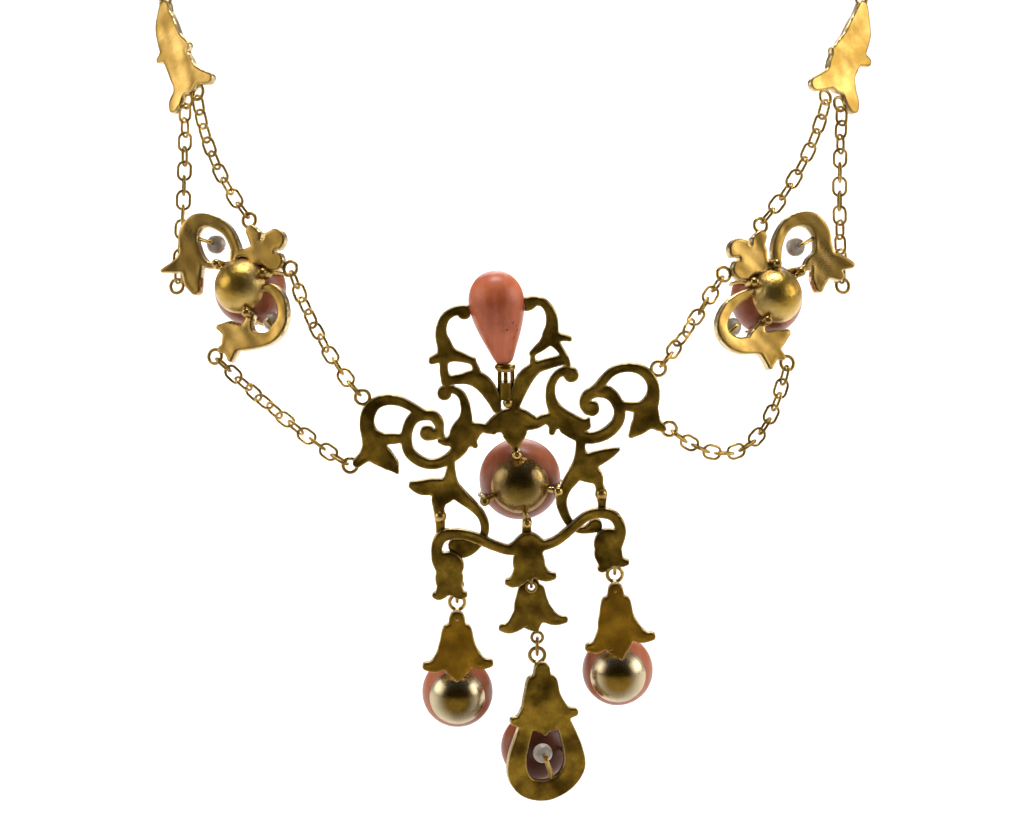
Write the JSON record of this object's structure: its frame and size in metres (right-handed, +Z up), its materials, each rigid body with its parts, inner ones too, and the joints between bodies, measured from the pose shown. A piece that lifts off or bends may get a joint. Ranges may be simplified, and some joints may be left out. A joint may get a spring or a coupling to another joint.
{
  "type": "festoon necklace",
  "caption": "Gold festoon necklace with a scrollwork centre piece, side stations and upper plates joined by cable chains, with coral beads, pearls and swinging bell drops.",
  "frame": {"origin": "middle of the loop that goes round the neck", "axes": "+Z up as the necklace is worn, +X to the viewer's right in the picture, +Y from the front of the loop to the nape; the decorated sides face +Y because it is worn back to front"},
  "size_m": [0.1175, 0.1144, 0.1367],
  "materials": {
    "gold": "satin",
    "gold_chain": "satin",
    "coral": "gloss",
    "pearl": "gloss"
  },
  "bodies": {
    "necklace": {"centre_frame": "gold", "centre_coral": "coral", "crest_coral": "coral", "station_left": "gold", "station_left_coral": "coral", "station_left_upper_pearl": "pearl", "station_left_lower_pearl": "pearl", "station_right": "gold", "station_right_coral": "coral", "station_right_upper_pearl": "pearl", "station_right_lower_pearl": "pearl", "plate_left": "gold", "plate_right": "gold", "ring_left": "gold", "ring_right": "gold", "ring_mid": "gold", "chain_left_outer": "gold_chain", "chain_left_inner": "gold_chain", "chain_left_swag": "gold_chain", "chain_left_low": "gold_chain", "chain_right_outer": "gold_chain", "chain_right_inner": "gold_chain", "chain_right_swag": "gold_chain", "chain_right_low": "gold_chain", "neck_chain_left": "gold_chain", "neck_chain_right": "gold_chain", "clasp": "gold"},
    "left_drop": {"drop_left": "gold", "drop_left_coral": "coral"},
    "right_drop": {"drop_right": "gold", "drop_right_coral": "coral"},
    "bell_link": {"mid_bell": "gold", "ring_mid_drop": "gold"},
    "middle_drop": {"mid_drop": "gold", "mid_drop_coral": "coral", "mid_drop_pearl": "pearl"}
  },
  "joints": [
    {"name": "left_drop_swing", "type": "hinge", "parent": "necklace", "child": "left_drop", "pos_m": [-0.00695, -0.057, -0.06645], "axis": [1, 0, 0], "range_deg": [-20, 35]},
    {"name": "right_drop_swing", "type": "hinge", "parent": "necklace", "child": "right_drop", "pos_m": [0.013, -0.057, -0.0628], "axis": [1, 0, 0], "range_deg": [-20, 35]},
    {"name": "bell_link_swing", "type": "hinge", "parent": "necklace", "child": "bell_link", "pos_m": [0.00245, -0.0568, -0.0644], "axis": [1, 0, 0], "range_deg": [-20, 25]},
    {"name": "middle_drop_swing", "type": "hinge", "parent": "bell_link", "child": "middle_drop", "pos_m": [0.0032, -0.0568, -0.0734], "axis": [1, 0, 0], "range_deg": [-30, 35]}
  ]
}
